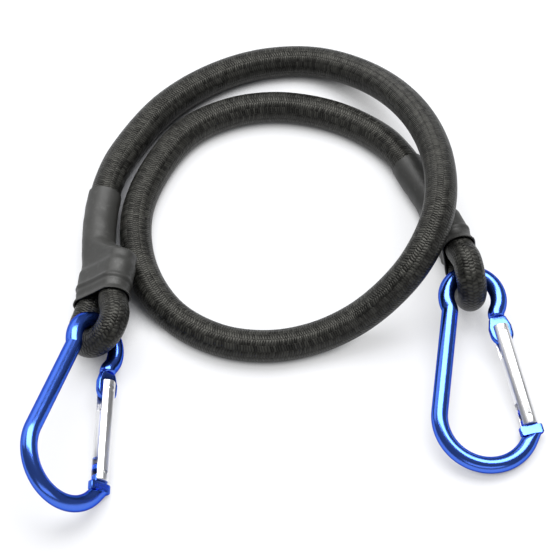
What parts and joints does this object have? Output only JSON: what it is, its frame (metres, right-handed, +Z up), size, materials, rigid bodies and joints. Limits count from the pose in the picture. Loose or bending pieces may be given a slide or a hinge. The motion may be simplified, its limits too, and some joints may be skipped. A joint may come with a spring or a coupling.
{
  "type": "bungee cord",
  "caption": "Elastic cord with a braided cover, lying in a loop, with a sleeved eye at each end and a spring-gated carabiner hanging in each eye.",
  "frame": {"origin": "on the surface that the cord lies on, under the middle of the box round the sleeves, crimp bands and carabiners", "axes": "+Z up from the surface, +X from the left carabiner to the right one, +Y away from the carabiners towards the top of the loop"},
  "size_m": [0.1832, 0.2088, 0.0395],
  "materials": {
    "braid": "tight black braid with a slight sheen",
    "core_rubber": "matte, unseen",
    "shrunk_sleeve": "matte dark grey",
    "blue_aluminium": "bright royal blue anodised",
    "silver_aluminium": "polished, clear anodised",
    "steel": "plain bright"
  },
  "bodies": {
    "cord": {"cord_cover": "braid", "rubber_core": "core_rubber", "left_sleeve": "shrunk_sleeve", "right_sleeve": "shrunk_sleeve", "left_crimp_band": "steel", "right_crimp_band": "steel"},
    "left_carabiner": {"left_carabiner_body": "blue_aluminium", "left_pivot_rivet": "silver_aluminium"},
    "right_carabiner": {"right_carabiner_body": "blue_aluminium", "right_pivot_rivet": "silver_aluminium"},
    "left_gate_bar": {"left_gate": "silver_aluminium", "left_gate_latch_pin": "steel", "left_gate_spring": "steel", "left_spring_plunger": "steel"},
    "right_gate_bar": {"right_gate": "silver_aluminium", "right_gate_latch_pin": "steel", "right_gate_spring": "steel", "right_spring_plunger": "steel"}
  },
  "joints": [
    {"name": "left_carabiner_swing", "type": "hinge", "parent": "cord", "child": "left_carabiner", "pos_m": [-0.06841, -0.00068, 0.01265], "axis": [-0.6801, 0.054, 0.7311], "range_deg": [0, 80]},
    {"name": "right_carabiner_swing", "type": "hinge", "parent": "cord", "child": "right_carabiner", "pos_m": [0.06564, 0.01812, 0.0157], "axis": [-0.9778, -0.209, -0.017], "range_deg": [0, 80]},
    {"name": "left_gate_pivot", "type": "hinge", "parent": "left_carabiner", "child": "left_gate_bar", "pos_m": [-0.0649, -0.02573, 0.00665], "axis": [-0.7038, 0.071, -0.7068], "range_deg": [0, 30], "stiffness_Nm_per_rad": 0.15, "springref_deg": -34.38},
    {"name": "right_gate_pivot", "type": "hinge", "parent": "right_carabiner", "child": "right_gate_bar", "pos_m": [0.07793, -0.00435, 0.01041], "axis": [-0.156, 0.145, -0.9771], "range_deg": [0, 30], "stiffness_Nm_per_rad": 0.15, "springref_deg": -34.38}
  ]
}
